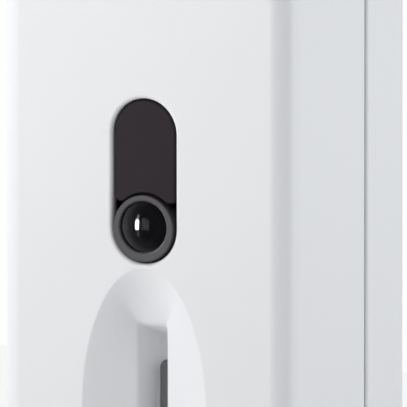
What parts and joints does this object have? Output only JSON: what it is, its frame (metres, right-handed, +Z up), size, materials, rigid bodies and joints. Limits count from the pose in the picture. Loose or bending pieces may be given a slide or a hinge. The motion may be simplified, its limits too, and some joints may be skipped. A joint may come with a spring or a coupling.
{
  "type": "video doorbell",
  "caption": "Deep rounded wall-mounted video door station: camera dome and dark call plate in a black window, above an elliptical sound dish with an upright slot.",
  "frame": {"origin": "centre of the back, in the plane of the wall", "axes": "+Z up, the front faces -Y, +X to the right of a visitor who faces it"},
  "size_m": [0.084, 0.0665, 0.182],
  "materials": {
    "white_plastic": "satin moulded",
    "black_plastic": "satin moulded",
    "call_plate": "polished, dark to the eye and clear to infrared",
    "ring_plastic": "satin moulded",
    "dome": "polished, tinted",
    "grille": "sintered mesh",
    "black_rubber": "matt",
    "grey_rubber": "matt",
    "steel": "zinc plated",
    "spring_steel": "bright",
    "black_metal": "black anodised",
    "lens_glass": "coated",
    "infrared_glass": "coated",
    "circuit_board": "solder resist",
    "chip": "moulded",
    "resin": "clear resin",
    "ivory_plastic": "moulded",
    "copper_coil": "enamelled wire",
    "shield_metal": "tinned",
    "paper_cone": "pressed pulp",
    "magnet": "plated",
    "terminal_green": "moulded",
    "ribbon_film": "film"
  },
  "bodies": {
    "housing": {"front_cover": "white_plastic", "rear_base": "white_plastic", "body_gasket": "grey_rubber", "cover_screws": "steel", "window_tray": "black_plastic", "tray_seal": "black_rubber", "tray_screws": "steel", "return_spring": "spring_steel", "stem_seal": "black_rubber", "switch_body": "chip", "sensor_board": "circuit_board", "infrared_lamps": "resin", "light_sensor": "resin", "sensor_board_screws": "steel", "lens_ring": "ring_plastic", "dome_window": "dome", "dome_seal": "black_rubber", "lens_barrel": "black_metal", "front_lens": "lens_glass", "rear_lens": "lens_glass", "lens_holder": "black_plastic", "lens_holder_screws": "steel", "filter_coil": "copper_coil", "image_sensor": "chip", "camera_board": "circuit_board", "camera_board_screws": "steel", "sound_grille": "grille", "speaker_gasket": "black_rubber", "speaker_frame": "shield_metal", "speaker_surround": "black_rubber", "speaker_magnet": "magnet", "speaker_clamp": "black_plastic", "speaker_screws": "steel", "microphone_boot": "black_rubber", "microphone": "shield_metal", "main_board": "circuit_board", "main_board_screws": "steel", "processor_shield": "shield_metal", "capacitors": "chip", "terminal_block": "terminal_green", "terminal_screws": "steel", "antenna": "ivory_plastic", "ribbon_connectors": "ivory_plastic", "camera_ribbon": "ribbon_film", "sensor_ribbon": "ribbon_film", "wall_plate": "steel", "lock_screw": "steel", "cable_grommet": "black_rubber"},
    "call_button": {"call_plate": "call_plate"},
    "switch_button": {"switch_plunger": "ivory_plastic"},
    "filter_slide": {"filter_carrier": "black_plastic", "infrared_filter": "infrared_glass", "clear_filter": "lens_glass"},
    "sound_cone": {"speaker_cone": "paper_cone"}
  },
  "joints": [
    {"name": "call_press", "type": "slide", "parent": "housing", "child": "call_button", "axis": [0, 1, 0], "range_m": [0, 0.0008], "stiffness_N_per_m": 800, "springref_m": -0.002, "deforming": ["return_spring"]},
    {"name": "switch_press", "type": "slide", "parent": "housing", "child": "switch_button", "axis": [0, 1, 0], "range_m": [0, 0.0008]},
    {"name": "filter_switch", "type": "slide", "parent": "housing", "child": "filter_slide", "axis": [1, 0, 0], "range_m": [0, 0.007]},
    {"name": "cone_travel", "type": "slide", "parent": "housing", "child": "sound_cone", "axis": [0, 1, 0], "range_m": [-0.0005, 0.0005], "stiffness_N_per_m": 1500, "deforming": ["speaker_surround"]}
  ],
  "couplings": [
    {"joint": "switch_press", "follows": "call_press", "ratio": 1}
  ]
}
